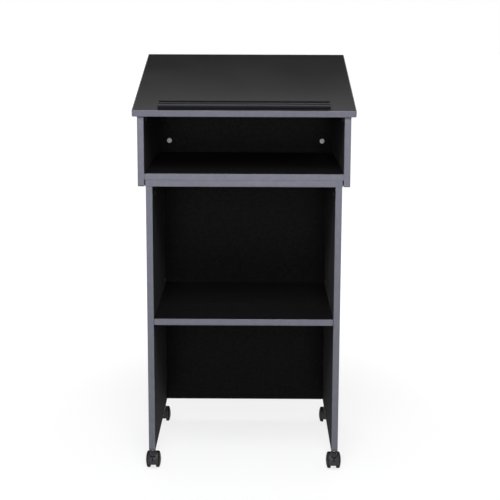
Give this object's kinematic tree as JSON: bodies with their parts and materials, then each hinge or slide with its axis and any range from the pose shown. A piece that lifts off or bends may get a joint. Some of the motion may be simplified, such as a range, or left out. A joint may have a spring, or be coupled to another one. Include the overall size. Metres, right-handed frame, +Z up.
{
  "type": "mobile_lectern",
  "caption": "Mobile lectern: sloping reading board with a pen tray over an open compartment, on an open-front cabinet with a shelf, a back panel and swivelling twin-wheel casters",
  "frame": {"origin": "middle of the footprint of the whole part, on the floor", "axes": "+Z up, the open front and the reader face -Y, +X to the reader's right"},
  "size_m": [0.614, 0.5548, 1.1757],
  "materials": {
    "laminate": "black melamine-faced board, satin, with a fine pearl texture",
    "edge_band": "grey plastic edge band, fine matt grain",
    "black_extrusion": "black extruded plastic with a soft gloss on its rounded lip",
    "zinc": "zinc die casting, dull",
    "steel": "zinc-plated steel",
    "beech": "plain beech dowel",
    "hood_plastic": "black moulded nylon, satin",
    "wheel_plastic": "black moulded nylon, matt tread and satin face"
  },
  "bodies": {
    "cabinet": {"reading_board": "laminate", "upper_left_side": "laminate", "upper_right_side": "laminate", "upper_floor": "laminate", "upper_back_panel": "laminate", "cabinet_top": "laminate", "left_side": "laminate", "right_side": "laminate", "back_panel": "laminate", "shelf": "laminate", "reading_board_edge_band": "edge_band", "upper_left_edge_band": "edge_band", "upper_right_edge_band": "edge_band", "upper_floor_edge_bands": "edge_band", "cabinet_top_edge_band": "edge_band", "left_side_edge_band": "edge_band", "right_side_edge_band": "edge_band", "back_panel_edge_band": "edge_band", "shelf_edge_band": "edge_band", "book_stop_tray": "black_extrusion", "cam_locks": "zinc", "shelf_supports": "zinc", "caster_sockets": "zinc", "tray_screws": "steel", "cam_bolts": "steel", "joining_screws": "steel", "caster_stems": "steel", "dowels": "beech"},
    "front_left_swivel": {"front_left_hood": "hood_plastic", "front_left_axle": "steel"},
    "front_left_outer_wheel": {"front_left_outer_wheel": "wheel_plastic"},
    "front_left_inner_wheel": {"front_left_inner_wheel": "wheel_plastic"},
    "front_right_swivel": {"front_right_hood": "hood_plastic", "front_right_axle": "steel"},
    "front_right_outer_wheel": {"front_right_outer_wheel": "wheel_plastic"},
    "front_right_inner_wheel": {"front_right_inner_wheel": "wheel_plastic"},
    "rear_left_swivel": {"rear_left_hood": "hood_plastic", "rear_left_axle": "steel"},
    "rear_left_outer_wheel": {"rear_left_outer_wheel": "wheel_plastic"},
    "rear_left_inner_wheel": {"rear_left_inner_wheel": "wheel_plastic"},
    "rear_right_swivel": {"rear_right_hood": "hood_plastic", "rear_right_axle": "steel"},
    "rear_right_outer_wheel": {"rear_right_outer_wheel": "wheel_plastic"},
    "rear_right_inner_wheel": {"rear_right_inner_wheel": "wheel_plastic"}
  },
  "joints": [
    {"name": "front_left_swivel", "type": "hinge", "parent": "cabinet", "child": "front_left_swivel", "pos_m": [-0.2625, -0.23534, 0.05], "axis": [0, 0, 1], "continuous": true},
    {"name": "front_left_outer_wheel_roll", "type": "hinge", "parent": "front_left_swivel", "child": "front_left_outer_wheel", "pos_m": [-0.2625, -0.21734, 0.024], "axis": [1, 0, 0], "continuous": true},
    {"name": "front_left_inner_wheel_roll", "type": "hinge", "parent": "front_left_swivel", "child": "front_left_inner_wheel", "pos_m": [-0.2625, -0.21734, 0.024], "axis": [1, 0, 0], "continuous": true},
    {"name": "front_right_swivel", "type": "hinge", "parent": "cabinet", "child": "front_right_swivel", "pos_m": [0.2625, -0.23534, 0.05], "axis": [0, 0, 1], "continuous": true},
    {"name": "front_right_outer_wheel_roll", "type": "hinge", "parent": "front_right_swivel", "child": "front_right_outer_wheel", "pos_m": [0.2625, -0.21734, 0.024], "axis": [1, 0, 0], "continuous": true},
    {"name": "front_right_inner_wheel_roll", "type": "hinge", "parent": "front_right_swivel", "child": "front_right_inner_wheel", "pos_m": [0.2625, -0.21734, 0.024], "axis": [1, 0, 0], "continuous": true},
    {"name": "rear_left_swivel", "type": "hinge", "parent": "cabinet", "child": "rear_left_swivel", "pos_m": [-0.2625, 0.16266, 0.05], "axis": [0, 0, 1], "continuous": true},
    {"name": "rear_left_outer_wheel_roll", "type": "hinge", "parent": "rear_left_swivel", "child": "rear_left_outer_wheel", "pos_m": [-0.2625, 0.18066, 0.024], "axis": [1, 0, 0], "continuous": true},
    {"name": "rear_left_inner_wheel_roll", "type": "hinge", "parent": "rear_left_swivel", "child": "rear_left_inner_wheel", "pos_m": [-0.2625, 0.18066, 0.024], "axis": [1, 0, 0], "continuous": true},
    {"name": "rear_right_swivel", "type": "hinge", "parent": "cabinet", "child": "rear_right_swivel", "pos_m": [0.2625, 0.16266, 0.05], "axis": [0, 0, 1], "continuous": true},
    {"name": "rear_right_outer_wheel_roll", "type": "hinge", "parent": "rear_right_swivel", "child": "rear_right_outer_wheel", "pos_m": [0.2625, 0.18066, 0.024], "axis": [1, 0, 0], "continuous": true},
    {"name": "rear_right_inner_wheel_roll", "type": "hinge", "parent": "rear_right_swivel", "child": "rear_right_inner_wheel", "pos_m": [0.2625, 0.18066, 0.024], "axis": [1, 0, 0], "continuous": true}
  ]
}
